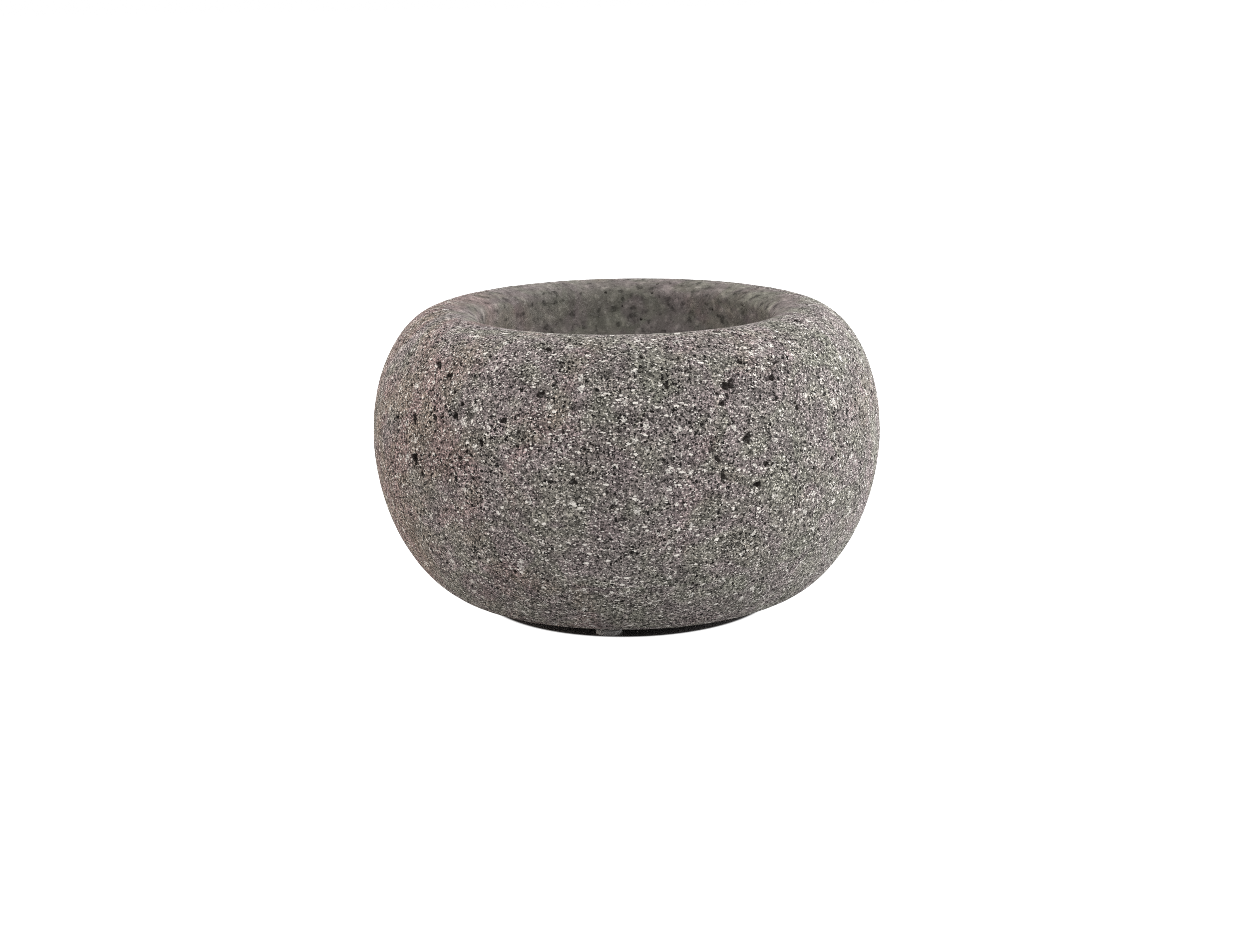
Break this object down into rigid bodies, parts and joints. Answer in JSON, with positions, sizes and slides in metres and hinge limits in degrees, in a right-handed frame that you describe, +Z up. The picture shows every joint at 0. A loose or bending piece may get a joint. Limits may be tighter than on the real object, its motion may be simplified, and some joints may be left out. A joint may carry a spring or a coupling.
{
  "type": "molcajete",
  "caption": "Squat round basalt mortar bowl with a thick rounded rim, an open ellipsoidal hollow and a flat ground base that stands on small round bumpers.",
  "frame": {"origin": "on the bowl's axis of revolution, at the level of the undersides of the three bumpers", "axes": "+Z up along the bowl's axis; -Y is the front, where bumper 1 sits 7.5 degrees towards -X"},
  "size_m": [0.14, 0.14, 0.0812],
  "materials": {
    "basalt": "grey vesicular basalt, ground and unpolished, with pale feldspar flecks and open pores",
    "bumper": "satin grey polyurethane"
  },
  "bodies": {
    "root": {"mortar_bowl": "basalt", "foot_pad_1": "bumper", "foot_pad_2": "bumper", "foot_pad_3": "bumper"}
  },
  "joints": []
}
